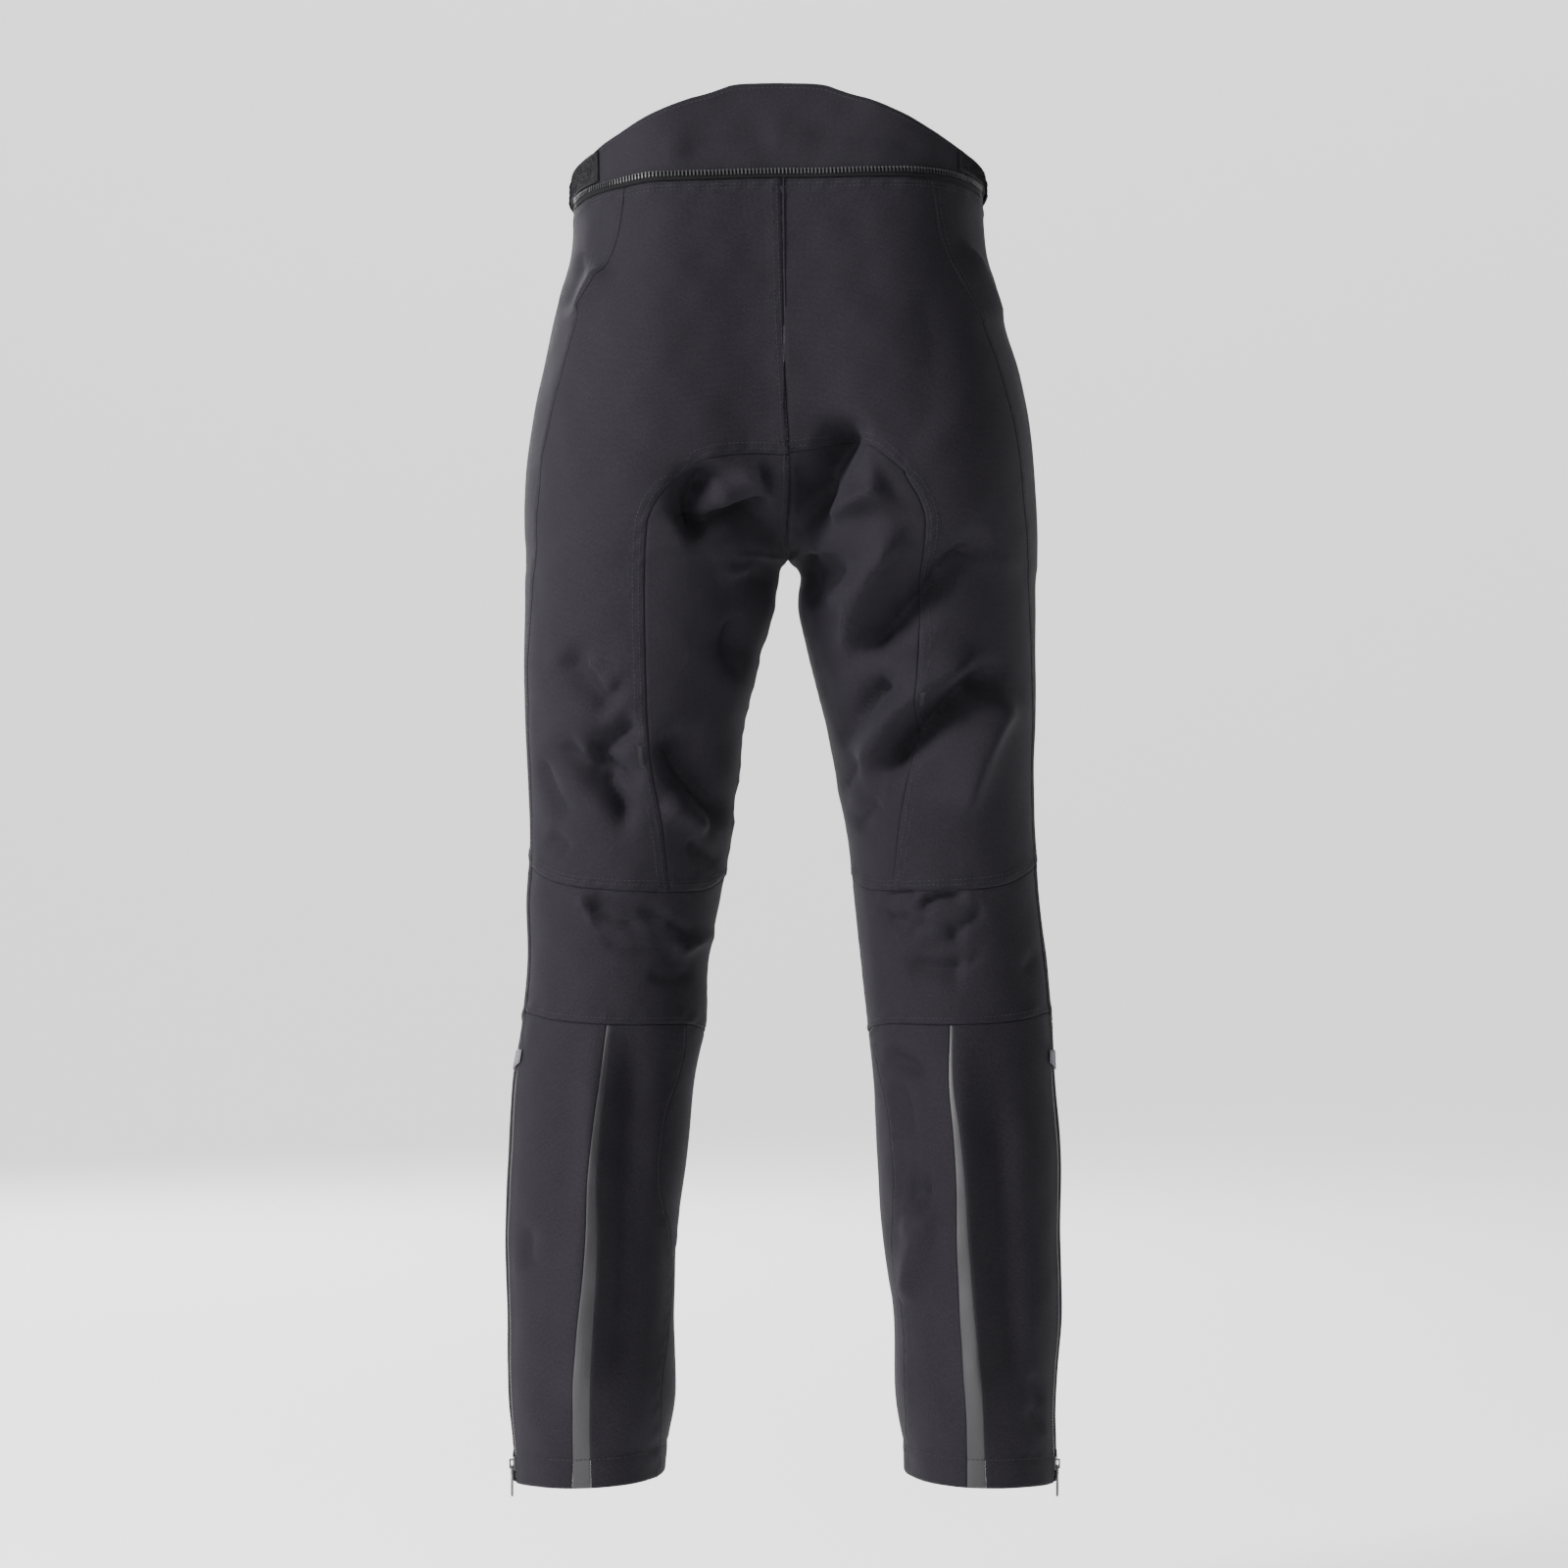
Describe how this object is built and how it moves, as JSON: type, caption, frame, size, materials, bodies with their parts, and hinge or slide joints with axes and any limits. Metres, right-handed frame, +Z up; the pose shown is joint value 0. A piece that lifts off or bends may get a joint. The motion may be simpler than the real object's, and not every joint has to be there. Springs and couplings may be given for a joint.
{
  "type": "motorcycle trousers",
  "caption": "Hollow, filled-out motorcycle trousers with a raised back waistband, connection zip, seat insert, knee panels, reflective calf strips and side leg zips.",
  "frame": {"origin": "middle of the waist opening, at the height of the waist seam at the sides, where the wearer's waist holds the trousers up", "axes": "+Z up, -Y to the front, +X to the wearer's left"},
  "size_m": [0.4511, 0.292, 1.125],
  "materials": {
    "shell_cloth": "matte woven softshell",
    "band_cloth": "matte woven softshell",
    "loop_pile": "brushed loop pile",
    "reflective_tape": "grey retroreflective tape",
    "tab_cloth": "grey woven tab",
    "zip_plastic": "moulded acetal teeth on woven tape",
    "zip_metal": "black enamelled zinc"
  },
  "bodies": {
    "trousers": {"waistband_back": "band_cloth", "waistband_front_left": "band_cloth", "waistband_front_right": "band_cloth", "waist_tab": "band_cloth", "snap_button": "zip_metal", "fly_flap": "shell_cloth", "connection_zip": "zip_plastic", "loop_patch_left": "loop_pile", "loop_patch_right": "loop_pile", "adjuster_strap_left": "band_cloth", "adjuster_strap_right": "band_cloth", "back_panel_left": "shell_cloth", "back_panel_right": "shell_cloth", "seat_insert_left": "shell_cloth", "seat_insert_right": "shell_cloth", "front_panel_left": "shell_cloth", "front_panel_right": "shell_cloth", "knee_back_left": "shell_cloth", "knee_back_right": "shell_cloth", "knee_front_left": "shell_cloth", "knee_front_right": "shell_cloth", "calf_outer_left": "shell_cloth", "calf_outer_right": "shell_cloth", "calf_inner_left": "shell_cloth", "calf_inner_right": "shell_cloth", "shin_panel_left": "shell_cloth", "shin_panel_right": "shell_cloth", "reflective_strip_left": "reflective_tape", "reflective_strip_right": "reflective_tape", "leg_zip_left": "zip_plastic", "leg_zip_right": "zip_plastic", "zip_tab_left": "tab_cloth", "zip_tab_right": "tab_cloth", "zip_slider_left": "zip_metal", "zip_slider_right": "zip_metal"},
    "left_pull": {"zip_pull_left": "zip_metal"},
    "right_pull": {"zip_pull_right": "zip_metal"}
  },
  "joints": [
    {"name": "left_pull_swing", "type": "hinge", "parent": "trousers", "child": "left_pull", "pos_m": [0.21836, 0.0603, -1.0127], "axis": [0.2413, -0.9705, 0], "range_deg": [0, 120]},
    {"name": "right_pull_swing", "type": "hinge", "parent": "trousers", "child": "right_pull", "pos_m": [-0.21944, 0.0603, -1.0127], "axis": [0.2406, 0.9706, 0], "range_deg": [0, 120]}
  ]
}
